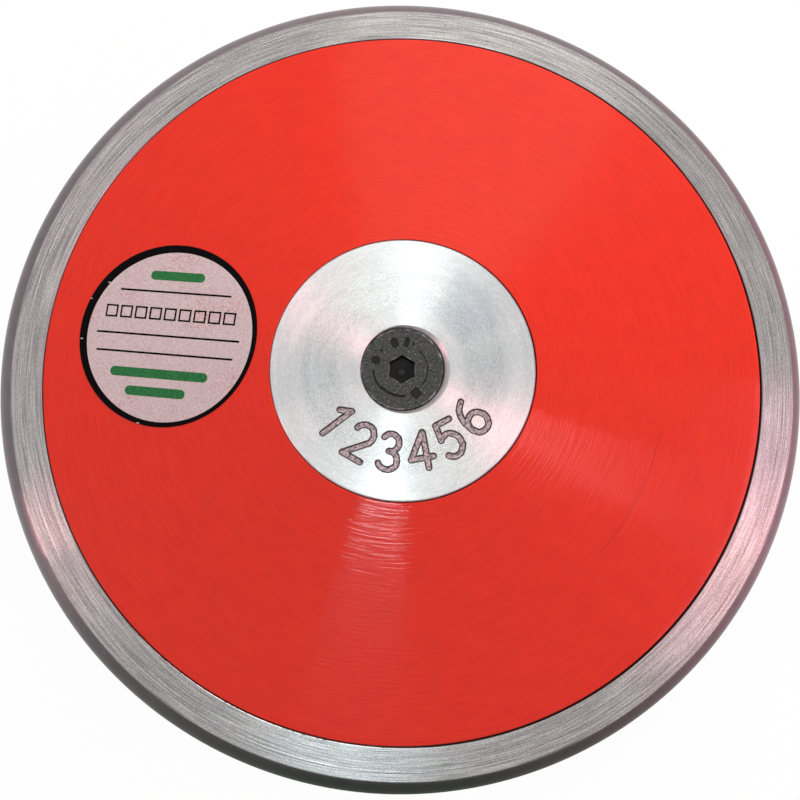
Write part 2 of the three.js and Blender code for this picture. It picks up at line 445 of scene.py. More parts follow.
def hub_plate_mesh():
    land_height = HEAD_TOP - HEAD_LAND
    hole_radius = SHANK_RADIUS + BOLT_CLEARANCE
    spigot_radius = PLATE_BORE_RADIUS - HUB_CLEARANCE
    spigot_inner = spigot_radius - SPIGOT_WALL
    spigot_end = HUB_SEAT_HEIGHT - SPIGOT_DEPTH
    boss_end = SPACER_END + SEAT_GAP
    outline = [
        (hole_radius, boss_end, 0),
        (BOSS_RADIUS, boss_end, INNER_FILLET),
        (BOSS_RADIUS, HUB_SEAT_HEIGHT, 0),
        (spigot_inner, HUB_SEAT_HEIGHT, 0),
        (spigot_inner, spigot_end, INNER_FILLET),
        (spigot_radius, spigot_end, INNER_FILLET),
        (spigot_radius, HUB_SEAT_HEIGHT, 0),
        (HUB_RADIUS, HUB_SEAT_HEIGHT, 0),
        (HUB_RADIUS, HALF_THICKNESS - HUB_EDGE_CHAMFER, HUB_FILLET),
        (HUB_RADIUS - HUB_EDGE_CHAMFER, HALF_THICKNESS, HUB_FILLET),
        (MOUTH_RADIUS, HALF_THICKNESS, MOUTH_FILLET),
        (COUNTERSINK_RADIUS, HEAD_TOP, 0),
        (COUNTERSINK_RADIUS, land_height, 0),
        (hole_radius, land_height - (COUNTERSINK_RADIUS - hole_radius), 0),
    ]
    solid = turned(rounded(outline), LARGE_STEPS)
    for face in solid.faces:
        middle = face.calc_center_median()
        if middle.xy.length < MOUTH_RADIUS and middle.z > land_height:
            face.material_index = MOUTH
    for corner in solid.verts:
        at_mouth = corner.co.xy.length < MOUTH_RADIUS + MOUTH_FILLET
        if at_mouth and corner.co.z > HEAD_TOP + TOUCHING:
            corner.co.xy += MOUTH_SHIFT
    return to_mesh(solid, "hub_plate")


# Engraved numerals, drawn as strokes in a box one unit high

STROKE_STEP = 12  # degrees of a curved stroke
STROKE_LEAST_STEPS = 6


def line(*points):
    return [Vector(point) for point in points]


def arc(centre, radii, start, end):
    """Points along an ellipse's arc, with its angles in degrees."""
    steps = max(STROKE_LEAST_STEPS, round(abs(end - start) / STROKE_STEP))
    points = []
    for step in range(steps + 1):
        angle = math.radians(start + (end - start) * step / steps)
        across, up = radii[0] * math.cos(angle), radii[1] * math.sin(angle)
        points.append(Vector((centre[0] + across, centre[1] + up)))
    return points


NUMERALS = [
    [line((0.1, 0.76), (0.34, 1)), line((0.34, 1), (0.34, 0))],
    [arc((0.31, 0.72), (0.27, 0.28), 165, -40), line((0.517, 0.54), (0.03, 0)), line((0.03, 0), (0.6, 0))],
    [arc((0.29, 0.755), (0.23, 0.245), 150, -90), arc((0.29, 0.265), (0.27, 0.265), 90, -150)],
    [line((0.44, 0), (0.44, 1)), line((0.44, 1), (0, 0.3)), line((0, 0.3), (0.62, 0.3))],
    [line((0.56, 1), (0.14, 1)), line((0.14, 1), (0.08, 0.58)), arc((0.28, 0.33), (0.29, 0.33), 132, -140)],
    [arc((0.3, 0.29), (0.27, 0.29), 0, 360), arc((0.55, 0.29), (0.52, 0.71), 180, 95)],
]
NUMERAL_HEIGHT = 7.1
NUMERAL_MIDDLE = Vector((0.31, 0.5))
NUMERAL_RADIUS = 16.65
NUMERAL_FIRST = 219  # places round the hub, in degrees
NUMERAL_LAST = 324.5
NUMERAL_WANDER = 4
NUMERAL_SHAKE = 0.006
NUMERAL_SEED = 7
GROOVE_MOUTH = 1.4
GROOVE_FLOOR = 0.82
GROOVE_DEPTH = 0.4


def groove(path, mouth, floor, depth, top):
    """A cutting tool for one engraved stroke with tapered walls, below the flat face at height top."""
    flare = (mouth - floor) / depth / 2
    levels = [(floor / 2, top - depth), (mouth / 2 + flare * OVERRUN, top + OVERRUN)]
    tool = to_mesh(swept(path, levels), "groove")
    mark_faces(tool, ENGRAVED)
    return tool


def mark_faces(mesh, index):
    """Gives every face of a cutting tool the material slot that its cut will show."""
    make_slots(mesh, index + 1)
    mesh.polygons.foreach_set("material_index", [index] * len(mesh.polygons))


def engraved(mesh, tools):
    make_slots(mesh, SLOT_COUNT)
    return combined(mesh, "DIFFERENCE", tools)


def numeral_tools():
    """Grooves for the row of numerals, upright towards the hub's centre and read along the arc."""
    wander = random.Random(NUMERAL_SEED)
    tools = []
    for index, strokes in enumerate(NUMERALS):
        share = index / (len(NUMERALS) - 1)
        around = NUMERAL_FIRST + (NUMERAL_LAST - NUMERAL_FIRST) * share
        upright = math.radians(around + 90 + wander.uniform(-NUMERAL_WANDER, NUMERAL_WANDER))
        middle = on_circle(NUMERAL_RADIUS, around)
        for stroke in strokes:
            path = []
            for point in stroke:
                shake = Vector((wander.gauss(0, NUMERAL_SHAKE), wander.gauss(0, NUMERAL_SHAKE)))
                local = (point + shake - NUMERAL_MIDDLE) * NUMERAL_HEIGHT
                path.append(middle + rotated(local, upright))
            tools.append(groove(path, GROOVE_MOUTH, GROOVE_FLOOR, GROOVE_DEPTH, HALF_THICKNESS))
    return tools


# Centre screws

HEAD_MARK_RADIUS = 5.5
HEAD_MARK_DEPTH = 0.18
HEAD_MARK_FLOOR = 0.7  # a mark's width at its floor, as a share of its width
HEAD_ARCS = (
    # start and end in degrees, radius, width
    (183, 226, 5.65, 0.34),
    (222, 275, 5.4, 0.5),
    (-40, 46, 5.05, 0.22),
)
HEAD_DOTS = (
    # place in degrees, width across and run along the radius
    (105.5, 1.45, 0.6),
    (80, 0.9, 1.15),
    (161, 1.7, 0.1),
    (137, 0.45, 0.1),
    (66, 0.4, 0.1),
)
HEAD_BLOCK_PLACE = 300  # in degrees
HEAD_BLOCK_TURN = 12  # away from the radius, in degrees
HEAD_BLOCK_WIDTH = 1.9
HEAD_BLOCK_LENGTH = 1.9
HEAD_BLOCK_STROKES = 3
HEXAGON = 6


def head_mark_tools():
    """Forging marks: arcs, blunt dots and a block."""
    tools = []

    def mark(path, width):
        tools.append(groove(path, width, width * HEAD_MARK_FLOOR, HEAD_MARK_DEPTH, HEAD_TOP))

    for start, end, radius, width in HEAD_ARCS:
        mark(arc((0, 0), (radius, radius), start, end), width)
    for degrees, width, run in HEAD_DOTS:
        middle, half = on_circle(HEAD_MARK_RADIUS, degrees), on_circle(run / 2, degrees)
        mark([middle - half, middle + half], width)
    middle = on_circle(HEAD_MARK_RADIUS, HEAD_BLOCK_PLACE)
    along = on_circle(1, HEAD_BLOCK_PLACE + HEAD_BLOCK_TURN)
    across = Vector((-along.y, along.x))
    stroke = HEAD_BLOCK_WIDTH / (HEAD_BLOCK_STROKES - 1)
    reach = along * (HEAD_BLOCK_LENGTH - stroke) / 2
    for step in range(HEAD_BLOCK_STROKES):
        aside = across * (step / (HEAD_BLOCK_STROKES - 1) - 0.5) * (HEAD_BLOCK_WIDTH - stroke)
        mark([middle + aside - reach, middle + aside + reach], stroke)
    return tools


def socket_tools():
    """The hexagon, its drill point and its chamfered mouth."""
    flat = SOCKET_ACROSS_FLATS / 2
    mouth = flat + SOCKET_MOUTH_CHAMFER
    floor = HEAD_TOP - SOCKET_DEPTH
    end = floor - SOCKET_POINT_DEPTH * (1 - SOCKET_END_RADIUS / flat)
    top = HEAD_TOP + OVERRUN
    prism = bmesh.new()
    rings = []
    for height in (floor, top):
        ring = []
        for side in range(HEXAGON):
            corner = on_circle(flat / math.cos(math.pi / HEXAGON), 360 * (side + 0.5) / HEXAGON)
            ring.append(prism.verts.new((corner.x, corner.y, height)))
        rings.append(ring)
        prism.faces.new(ring)
    join(prism, *rings)
    bmesh.ops.recalc_face_normals(prism, faces=prism.faces)
    point = [
        (0, end),
        (SOCKET_END_RADIUS, end),
        (flat, floor),
        (flat, floor + OVERRUN),
        (0, floor + OVERRUN),
    ]
    cone = [(0, HEAD_TOP - mouth), (mouth + OVERRUN, top), (0, top)]
    hexagon = to_mesh(prism, "socket")
    drill = to_mesh(turned(point, SMALL_STEPS), "socket_point")
    countersink = to_mesh(turned(cone, SMALL_STEPS), "socket_mouth")
    for tool, slot in ((hexagon, ENGRAVED), (drill, ENGRAVED), (countersink, MOUTH)):
        mark_faces(tool, slot)
    for face in drill.polygons:
        if face.center.z < end + TOUCHING:
            face.material_index = SURFACE
    return [hexagon, drill, countersink]


def screw_mesh():
    land_height = HEAD_TOP - HEAD_LAND
    outline = [
        (0, SCREW_TIP, 0),
        (SHANK_RADIUS - TIP_CHAMFER, SCREW_TIP, 0),
        (SHANK_RADIUS, SCREW_TIP + TIP_CHAMFER, 0),
        (SHANK_RADIUS, land_height - (HEAD_RADIUS - SHANK_RADIUS), 0),
        (HEAD_RADIUS, land_height, 0),
        (HEAD_RADIUS, HEAD_TOP, HEAD_FILLET),
        (0, HEAD_TOP, 0),
    ]
    blank = to_mesh(turned(rounded(outline), SMALL_STEPS), "screw")
    return engraved(blank, [*socket_tools(), *head_mark_tools()])


# Sticker

STICKER_RADIUS = 18.8
STICKER_PLACE_RADIUS = 47.88
STICKER_PLACE_ANGLE = math.radians(170.52)
STICKER_TILT = math.radians(-7)
STICKER_THICKNESS = 0.09
STICKER_LIFT = 0.01
STICKER_BORDER = 1.3
BORDER_SHIFT = Vector((0.35, -0.3))  # the border's inner circle, printed off the middle
STICKER_STEPS = 144
STICKER_RINGS = 8  # inside the border
PRINT_THICKNESS = 0.012
PRINT_LIFT = STICKER_LIFT + STICKER_THICKNESS
PAPER, BORDER = range(2)  # the sticker's material slots
BLACK_PRINT, GREEN_PRINT, BARE_PRINT = range(3)  # the print's material slots

# The print is a blank form: thick bars, ruled lines and a row of empty boxes.
# Each bar has its middle across and up, half its length, its width and its colour.
PRINT_BARS = (
    (0.3, 12.1, 5.8, 1.9, GREEN_PRINT),
    (0.4, 8.7, 11.9, 0.4, BLACK_PRINT),
    (0.1, -0.4, 15.3, 0.4, BLACK_PRINT),
    (-0.1, -4.1, 14.6, 0.4, BLACK_PRINT),
    (-0.6, -8.2, 10.4, 1.9, GREEN_PRINT),
    (-0.9, -11.9, 6.4, 1.9, GREEN_PRINT),
)
# Chips in the black border, given in the same way
PRINT_CHIPS = (
    (-18.2, -2.2, 0.3, 0.2, BARE_PRINT),
    (-17.5, 6.3, 0.25, 0.16, BARE_PRINT),
    (-3.6, -18.3, 0.35, 0.2, BARE_PRINT),
    (2.2, -17.3, 0.5, 0.24, BARE_PRINT),
    (-14.2, 9.9, 0.3, 0.2, BARE_PRINT),
)
BOX_COUNT = 9
BOX_PITCH = 3.15
BOX_SIZE = 2.6
BOX_LINE = 0.36
BOX_UP = 4.1


def on_plate(across, up, lift):
    """The place on the upper plate's taper of a point of the sticker, laid flat without a stretch.
    Across and up are as the sticker is read, and lift is above the plate's surface."""
    turn = STICKER_PLACE_ANGLE - math.pi / 2 - STICKER_TILT
    around, outward = rotated(Vector((across, up)), -turn)
    slant = STICKER_PLACE_RADIUS / math.cos(SLOPE) + outward
    angle = STICKER_PLACE_ANGLE - math.atan2(around, slant) / math.cos(SLOPE)
    distance = math.hypot(around, slant)
    radius = distance * math.cos(SLOPE) + lift * math.sin(SLOPE)
    height = APEX_HEIGHT - distance * math.sin(SLOPE) + lift * math.cos(SLOPE)
    return (radius * math.cos(angle), radius * math.sin(angle), height)


def laid(outline_rings, lift, thickness, hole=False):
    """A thin closed film on the plate: rings of flat (across, up) points, from the middle outwards."""
    film = bmesh.new()
    layers = []
    for height in (lift, lift + thickness):
        rings = []
        for ring in outline_rings:
            rings.append([film.verts.new(on_plate(across, up, height)) for across, up in ring])
        layers.append(rings)
    for rings in layers:
        for inner, outer in zip(rings, rings[1:]):
            join(film, inner, outer)
    walls = (-1, 0) if hole else (-1,)  # at the last ring, and at the first where it is a hole
    for index in walls:
        join(film, layers[0][index], layers[1][index])
    bmesh.ops.recalc_face_normals(film, faces=film.faces)
    return film


def sticker_mesh():
    inner = STICKER_RADIUS - STICKER_BORDER
    radii = [inner * step / STICKER_RINGS for step in range(STICKER_RINGS + 1)]
    radii += [STICKER_RADIUS - STICKER_BORDER / 2, STICKER_RADIUS]
    rings = []
    for radius in radii:
        count = STICKER_STEPS if radius else 1
        middle = BORDER_SHIFT * min(1, (STICKER_RADIUS - radius) / STICKER_BORDER)
        rings.append([tuple(middle + on_circle(radius, 360 * step / count)) for step in range(count)])
    film = laid(rings, STICKER_LIFT, STICKER_THICKNESS)
    centre = Vector(on_plate(*BORDER_SHIFT, STICKER_LIFT))
    for face in film.faces:
        reach = (face.calc_center_median() - centre).length
        face.material_index = BORDER if reach > inner else PAPER
    return to_mesh(film, "sticker")


def bar_rings(across, up, half_length, width):
    """A bar's spine and its outline with round ends, point for point."""
    half = width / 2
    steps = max(1, round(half_length))
    left, right = (Vector((across + side * (half_length - half), up)) for side in (-1, 1))
    outline = []
    for side, end, other in ((1, right, left), (-1, left, right)):
        for step in range(CAP_STEPS + 1):
            turn = math.pi * (step / CAP_STEPS - 0.5)
            outline.append(end + side * half * Vector((math.cos(turn), math.sin(turn))))
        for step in range(1, steps):
            outline.append(end.lerp(other, step / steps) + Vector((0, side * half)))
    spine = [(max(left.x, min(right.x, point.x)), up) for point in outline]
    return spine, [tuple(point) for point in outline]


def print_mesh():
    prints = bmesh.new()

    def add(film, index):
        for face in film.faces:
            face.material_index = index
        prints.from_mesh(to_mesh(film, "part"))

    for *bar, index in (*PRINT_BARS, *PRINT_CHIPS):
        film = laid(bar_rings(*bar), PRINT_LIFT, PRINT_THICKNESS)
        bmesh.ops.remove_doubles(film, verts=film.verts, dist=TOUCHING)
        add(film, index)
    for step in range(BOX_COUNT):
        across = (step - (BOX_COUNT - 1) / 2) * BOX_PITCH
        rings = []
        for half in (BOX_SIZE / 2 - BOX_LINE, BOX_SIZE / 2):
            rings.append([(across + x * half, BOX_UP + y * half) for x, y in SQUARE])
        add(laid(rings, PRINT_LIFT, PRINT_THICKNESS, hole=True), BLACK_PRINT)
    return to_mesh(prints, "print")


# Materials

SCORE_SHARE = 0.5  # depth of the score lines beside the hub, against the fine marks
SCRATCH_RADIUS = 52.7
SHADE_PATCH_MIDDLE = math.radians(43)  # where the upper hub has a patch of painted shade, darker and bluer

# Where a finish, a painted highlight or a painted shade sets in or fades, from one radius to another
RIM_EDGE = (CREASE_RADIUS - 0.2, CREASE_RADIUS + 0.4)
DARKER_INTO_JOINT = (JOINT_RADIUS + 0.22, JOINT_RADIUS + 0.1)
JOINT_HIGHLIGHT_FROM = (JOINT_RADIUS + 0.02, JOINT_RADIUS + 0.08)
JOINT_HIGHLIGHT_UNTIL = (JOINT_RADIUS + 0.24, JOINT_RADIUS + 0.16)
SMOOTHER_FROM = (11, 14)
SMOOTHER_UNTIL = (22, 19)
SHADE_PATCH_FADES = (20, 24)
SHADE_PATCH_OUTSIDE = 0.3  # what is left of it there
MOUTH_SHADE_FADES = (HEAD_RADIUS + 0.35, MOUTH_RADIUS + 0.5)
SCORED_UNTIL = (43, 36)
SCRATCH_SIDE = (0.14, 0.05)  # away from the scratch's middle
HEAD_RUBBED = (HEAD_RADIUS - 0.42, HEAD_RADIUS - 0.2)

# The same round the axis, where 1 is due east (+X), due north (+Y) or the middle of the hub's painted shade
# patch
JOINT_HIGHLIGHT_SOUTH, JOINT_HIGHLIGHT_WEST = (-0.7, -0.85), (0.08, -0.08)
PAINTED_LIGHT_EAST, PAINTED_LIGHT_NORTH = (0.1, 0.9), (0.45, 0.95)
SCRATCH_EAST, SCRATCH_SOUTH = (0.71, 0.79), (-0.16, -0.3)
SHADE_PATCH_SIDE = (0.915, 0.985)

# The part of a noise's range that a pattern uses
WIDE, NARROW, IN_PLACES = (0.3, 0.7), (0.35, 0.65), (0.4, 0.48)

RING_DETAIL = 2

# Where the colours are among a mix's sockets
FIRST_COLOUR, SECOND_COLOUR, MIXED_COLOUR = 6, 7, 2
WHITE = (1, 1, 1, 1)


class Nodes:
    """A node tree, built with short calls. Values may be numbers, colours or sockets."""

    def __init__(self, tree):
        self.tree = tree

    def feed(self, socket, value):
        if isinstance(value, bpy.types.NodeSocket):
            self.tree.links.new(value, socket)
        else:
            socket.default_value = value

    def add(self, kind, inputs=(), **settings):
        node = self.tree.nodes.new("ShaderNode" + kind)
        for key, value in settings.items():
            setattr(node, key, value)
        for key, value in dict(inputs).items():
            self.feed(node.inputs[key], value)
        return node

    def math(self, operation, *values):
        return self.add("Math", enumerate(values), operation=operation).outputs[0]

    def product(self, first, *others):
        for value in others:
            first = self.math("MULTIPLY", first, value)
        return first

    def vector(self, x, y, z):
        return self.add("CombineXYZ", {"X": x, "Y": y, "Z": z}).outputs[0]

    def noise(self, vector, scale, detail, roughness):
        inputs = {"Vector": vector, "Scale": scale, "Detail": detail, "Roughness": roughness}
        return self.add("TexNoise", inputs).outputs["Fac"]

    def map(self, value, low, high, to_low=0, to_high=1, smooth=False):
        inputs = {"Value": value, "From Min": low, "From Max": high, "To Min": to_low, "To Max": to_high}
        kind = "SMOOTHSTEP" if smooth else "LINEAR"
        return self.add("MapRange", inputs, interpolation_type=kind).outputs[0]

    def mix(self, factor, first, second, blend="MIX"):
        inputs = {"Factor": factor, FIRST_COLOUR: first, SECOND_COLOUR: second}
        return self.add("Mix", inputs, data_type="RGBA", blend_type=blend).outputs[MIXED_COLOUR]

    def bump(self, height, depth):
        """A normal that follows height, with its depth in millimetres."""
        return self.add("Bump", {"Height": height, "Distance": depth * MM, "Strength": 1}).outputs[0]

    def position(self):
        return self.add("TexCoord").outputs["Object"]

    def grain(self, size, detail=2, roughness=0.5):
        """Noise through the space of the piece, with forms of about that size in millimetres."""
        return self.noise(self.position(), 1 / (size * MM), detail, roughness)

    def polar(self, shift=(0, 0)):
        """Radius in millimetres from an axis beside the spin axis, and the unit direction's X and Y."""
        parts = self.add("SeparateXYZ", {0: self.position()}).outputs
        east, north = (self.math("SUBTRACT", parts[axis], shift[axis] * MM) for axis in range(2))
        squares = self.math("ADD", self.product(east, east), self.product(north, north))
        metres = self.math("SQRT", squares)
        radius = self.math("DIVIDE", metres, MM)
        return radius, self.math("DIVIDE", east, metres), self.math("DIVIDE", north, metres)

    def towards(self, polar, angle):
        """The cosine of how far round a place lies from an angle."""
        _, east, north = polar
        return self.math("ADD", self.product(east, math.cos(angle)), self.product(north, math.sin(angle)))

    def rings(self, polar, pitch, arcs, roughness=0.5):
        """Noise drawn out along circles: its pitch across, in millimetres, and its changes along."""
        radius, east, north = polar
        across = self.math("DIVIDE", radius, pitch)
        drawn = self.vector(across, self.product(east, arcs), self.product(north, arcs))
        return self.noise(drawn, 1, RING_DETAIL, roughness)


class Shader(Nodes):
    """The nodes of one material."""

    def __init__(self, name):
        self.material = bpy.data.materials.new(name)
        self.material.use_nodes = True
        super().__init__(self.material.node_tree)
        self.tree.nodes.clear()
        self.output = self.add("OutputMaterial")

    def show(self, surface):
        """The material, with this shader socket as its surface."""
        self.feed(self.output.inputs["Surface"], surface)
        return self.material

    def finished(self, **inputs):
        """The material, with a surface of these finishes."""
        names = {name.replace("_", " "): value for name, value in inputs.items()}
        return self.show(self.add("BsdfPrincipled", names).outputs[0])


def colour(red, green, blue):
    """A linear colour from the 0 to 255 values that it shows on a screen."""
    shown = [value / 255 for value in (red, green, blue)]
    linear = [v / 12.92 if v <= 0.04045 else ((v + 0.055) / 1.055) ** 2.4 for v in shown]
    return (*linear, 1)


def varied(shader, shown, *patterns):
    """A colour whose brightness follows several noise patterns, each with its own amount."""
    tones = [shader.map(noise, *WIDE, 1 - amount, 1 + amount) for noise, amount in patterns]
    tone = shader.product(*tones)
    return shader.mix(1, shown, shader.vector(tone, tone, tone), "MULTIPLY")


def painted_joint_highlight(shader, polar):
    """A painted highlight: a thin bright line along the rim's joint, in places on the lower left."""
    radius, east, north = polar
    return shader.product(
        shader.map(radius, *JOINT_HIGHLIGHT_FROM),
        shader.map(radius, *JOINT_HIGHLIGHT_UNTIL),
        shader.map(north, *JOINT_HIGHLIGHT_SOUTH),
        shader.map(east, *JOINT_HIGHLIGHT_WEST),
        shader.map(shader.grain(1.3, 3, 0.6), *IN_PLACES),
    )


def turned_steel():
    """The rim's faces have fine turning marks and a painted highlight along the joint on the lower left;
    its rounded edge is smooth, with a little stain, and painted light makes it pinker towards the east and
    lighter towards the north.
    """
    shader = Shader("turned_steel")
    polar = shader.polar(RIM_SHIFT)
    radius, east, north = polar
    fine, broad = shader.rings(polar, 0.25, 6, 0.6), shader.rings(polar, 1.4, 2)
    grain, tint, stain = shader.grain(0.22, 1), shader.grain(0.6), shader.grain(3, 4, 0.6)

    face = shader.mix(shader.map(tint, *NARROW), colour(157, 157, 151), colour(160, 152, 156))
    face = varied(shader, face, (fine, 0.42), (broad, 0.04), (grain, 0.3))
    # the face turns darker towards the joint
    face = shader.mix(shader.map(radius, *DARKER_INTO_JOINT), face, colour(100, 95, 95))
    # painted highlight: the near-white line along the joint on the lower left
    worn = varied(shader, colour(246, 240, 242), (tint, 0.2))
    face = shader.mix(painted_joint_highlight(shader, polar), face, worn)

    stain_and_painted_light = shader.mix(shader.map(stain, *NARROW), colour(107, 103, 104), colour(113, 101, 105))
    # painted light: the edge turns pinker towards the east and lighter towards the north, where the lamps
    # fall on it
    stain_and_painted_light = shader.mix(shader.map(east, *PAINTED_LIGHT_EAST), stain_and_painted_light, colour(138, 106, 113))
    stain_and_painted_light = shader.mix(shader.map(north, *PAINTED_LIGHT_NORTH), stain_and_painted_light, colour(132, 119, 123))
    stain_and_painted_light = varied(shader, stain_and_painted_light, (stain, 0.08), (grain, 0.08))

    edge = shader.map(radius, *RIM_EDGE, smooth=True)
    return shader.finished(
        Base_Color=shader.mix(edge, face, stain_and_painted_light),
        Metallic=1,
        Roughness=shader.map(edge, 0, 1, 0.31, 0.2),
        Anisotropic=0.95,
        Tangent=shader.vector(east, north, 0),
        Normal=shader.bump(shader.product(fine, shader.map(edge, 0, 1, 1, 0.1)), 0.006),
    )


def turned_aluminium():
    """A faced plate with fine turning marks, smoother halfway out, and painted shade that makes one patch
    on the upper right darker and bluer.
    """
    shader = Shader("turned_aluminium")
    polar = shader.polar(HUB_SHIFT)
    radius, east, north = polar
    fine, broad = shader.rings(polar, 0.24, 16, 0.6), shader.rings(polar, 1.6, 2.5)
    outwards = shader.map(radius, *SMOOTHER_FROM, smooth=True)
    halfway = shader.product(outwards, shader.map(radius, *SMOOTHER_UNTIL, smooth=True))
    # painted shade: the patch on the upper right, darker and bluer
    around = shader.map(shader.towards(polar, SHADE_PATCH_MIDDLE), *SHADE_PATCH_SIDE, smooth=True)
    painted_shade_patch = shader.product(around, outwards, shader.map(radius, *SHADE_PATCH_FADES, 1, SHADE_PATCH_OUTSIDE))
    face = shader.mix(halfway, colour(190, 191, 192), colour(180, 182, 183))
    face = shader.mix(painted_shade_patch, face, colour(163, 167, 171))
    return shader.finished(
        Base_Color=varied(shader, face, (fine, 0.09), (broad, 0.05), (shader.grain(0.24), 0.12)),
        Metallic=1,
        Roughness=shader.map(halfway, 0, 1, 0.31, 0.26),
        Anisotropic=0.95,
        Tangent=shader.vector(east, north, 0),
        Normal=shader.bump(shader.math("ADD", shader.product(broad, 3), fine), 0.003),
    )


def engraved_aluminium():
    """Grooves with steep walls painted darker, as painted shade, and floors that the cutter left rough."""
    shader = Shader("engraved_aluminium")
    grain = shader.grain(0.55, 3)
    facing = shader.add("SeparateXYZ", {0: shader.add("NewGeometry").outputs["True Normal"]}).outputs[2]
    cut_floor = varied(shader, colour(140, 128, 130), (grain, 0.8))
    # painted shade on the steep walls
    shaded_wall = varied(shader, colour(112, 98, 100), (grain, 0.35))
    return shader.finished(
        Base_Color=shader.mix(shader.map(facing, 0.75, 0.95), shaded_wall, cut_floor),
        Metallic=0.9,
        Roughness=0.45,
        Normal=shader.bump(grain, 0.06),
    )


def sunk_aluminium():
    """The countersink's mouth, cut rougher than the face, with painted shade that darkens it next to the
    screw's head.
    """
    shader = Shader("sunk_aluminium")
    polar = shader.polar(HUB_SHIFT)
    radius, east, north = polar
    # painted shade: darker next to the gap round the screw's head
    shown = shader.mix(shader.map(radius, *MOUTH_SHADE_FADES), colour(150, 142, 144), colour(192, 186, 187))
    return shader.finished(
        Base_Color=varied(shader, shown, (shader.rings(polar, 0.25, 6), 0.2)),
        Metallic=1,
        Roughness=0.4,
        Anisotropic=0.6,
        Tangent=shader.vector(east, north, 0),
    )


def red_plastic():
    """Moulded plastic with fine concentric tool marks, deeper score lines in a band beside the hub,
    and one dark scratch."""
    shader = Shader("red_plastic")
    polar = shader.polar(PLATE_SHIFT)
    radius, east, north = polar
    fine = shader.rings(polar, 0.45, 9, 0.6)
    from_line = shader.math("ABSOLUTE", shader.math("SUBTRACT", shader.rings(polar, 1.05, 1.3), 0.5))
    band = shader.map(radius, *SCORED_UNTIL, smooth=True)
    scored = shader.product(shader.map(from_line, 0.12, 0), band, SCORE_SHARE)
    from_scratch = shader.math("ABSOLUTE", shader.math("SUBTRACT", radius, SCRATCH_RADIUS))
    scratch = shader.product(
        shader.map(from_scratch, *SCRATCH_SIDE),
        shader.map(east, *SCRATCH_EAST),
        shader.map(north, *SCRATCH_SOUTH),
    )
    drawn = shader.mix(shader.map(fine, 0.25, 0.75), colour(210, 28, 4), colour(210, 39, 9))
    plain = varied(shader, drawn, (fine, 0.03), (shader.grain(5, 4), 0.03), (shader.grain(0.3), 0.05))
    return shader.finished(
        Base_Color=shader.mix(scratch, plain, colour(170, 22, 8)),
        Roughness=0.1,
        Specular_IOR_Level=0.3,
        Anisotropic=1,
        Tangent=shader.vector(east, north, 0),
        Normal=shader.bump(shader.math("ADD", fine, scored), 0.03),
    )


def black_oxide():
    """A grainy black finish, scuffed to grey in fine specks and along the head's rim."""
    shader = Shader("black_oxide")
    radius = shader.polar()[0]
    grain = shader.grain(0.36, 3, 0.7)
    specks = shader.map(shader.grain(0.3, 1), 0.66, 0.8)
    rub = shader.map(shader.grain(1.1, 3, 0.6), 0.44, 0.62)
    rubbed = shader.product(shader.map(radius, *HEAD_RUBBED), rub)
    dark = shader.mix(shader.map(grain, 0.36, 0.68), colour(8, 10, 10), colour(75, 80, 78))
    return shader.finished(
        Base_Color=shader.mix(shader.math("MAXIMUM", specks, rubbed), dark, colour(150, 148, 144)),
        Metallic=0.2,
        Roughness=shader.map(grain, *WIDE, 0.45, 0.65),
        Specular_IOR_Level=0.35,
        Normal=shader.bump(grain, 0.08),
    )


def scuffed_black():
    """The socket's chamfer, where the key has rubbed the black finish off."""
    shader = Shader("scuffed_black")
    return shader.finished(
        Base_Color=varied(shader, colour(142, 144, 140), (shader.grain(0.5), 0.5)),
        Metallic=0.6,
        Roughness=0.45,
    )


def shaded_black_recess():
    """The stamped marks and the socket, where the black finish is untouched, painted darker still as shade
    in these recesses.
    """
    shader = Shader("shaded_black_recess")
    grain = shader.grain(0.3)
    # painted shade: near black inside the socket and the marks
    return shader.finished(
        Base_Color=varied(shader, colour(16, 16, 15), (grain, 0.5)),
        Roughness=0.5,
        Specular_IOR_Level=0.2,
        Normal=shader.bump(grain, 0.03),
    )


def sticker_paper():
    """Pale paper, worn through to pink specks in clouds."""
    shader = Shader("sticker_paper")
    speck = shader.grain(0.42, 3, 0.75)
    worn = shader.product(shader.map(shader.grain(8), 0.5, 0.68), shader.map(speck, 0.54, 0.66))
    plain = varied(shader, colour(190, 175, 174), (shader.grain(0.35, 3), 0.2))
    return shader.finished(
        Base_Color=shader.mix(worn, plain, colour(186, 92, 96)),
        Roughness=0.45,
        Specular_IOR_Level=0.3,
        Normal=shader.bump(speck, 0.02),
    )


def ink(name, shown):
    shader = Shader(name)
    return shader.finished(
        Base_Color=varied(shader, shown, (shader.grain(0.4), 0.3)),
        Roughness=0.5,
        Specular_IOR_Level=0.02,
    )


def raw_steel():
    shader = Shader("raw_steel")
    scale = shader.grain(2, 4)
    return shader.finished(
        Base_Color=shader.mix(scale, colour(120, 118, 115), colour(160, 158, 156)),
        Metallic=1,
        Roughness=shader.map(scale, *WIDE, 0.35, 0.55),
    )


def pad_rubber():
    shader = Shader("pad_rubber")
    grain = shader.grain(0.5, 3)
    return shader.finished(
        Base_Color=shader.mix(grain, colour(24, 24, 24), colour(38, 38, 37)),
        Roughness=0.8,
        Normal=shader.bump(grain, 0.05),
    )


# The pieces

hub_finishes = [turned_aluminium(), engraved_aluminium(), sunk_aluminium()]
red = red_plastic()
screw_finishes = [black_oxide(), shaded_black_recess(), scuffed_black()]
paper = sticker_paper()
black_ink = ink("black_ink", colour(11, 10, 10))
green_ink = ink("green_ink", colour(46, 108, 62))
plain_steel = raw_steel()

place("steel_rim", rim_mesh(), [turned_steel()], "rim")

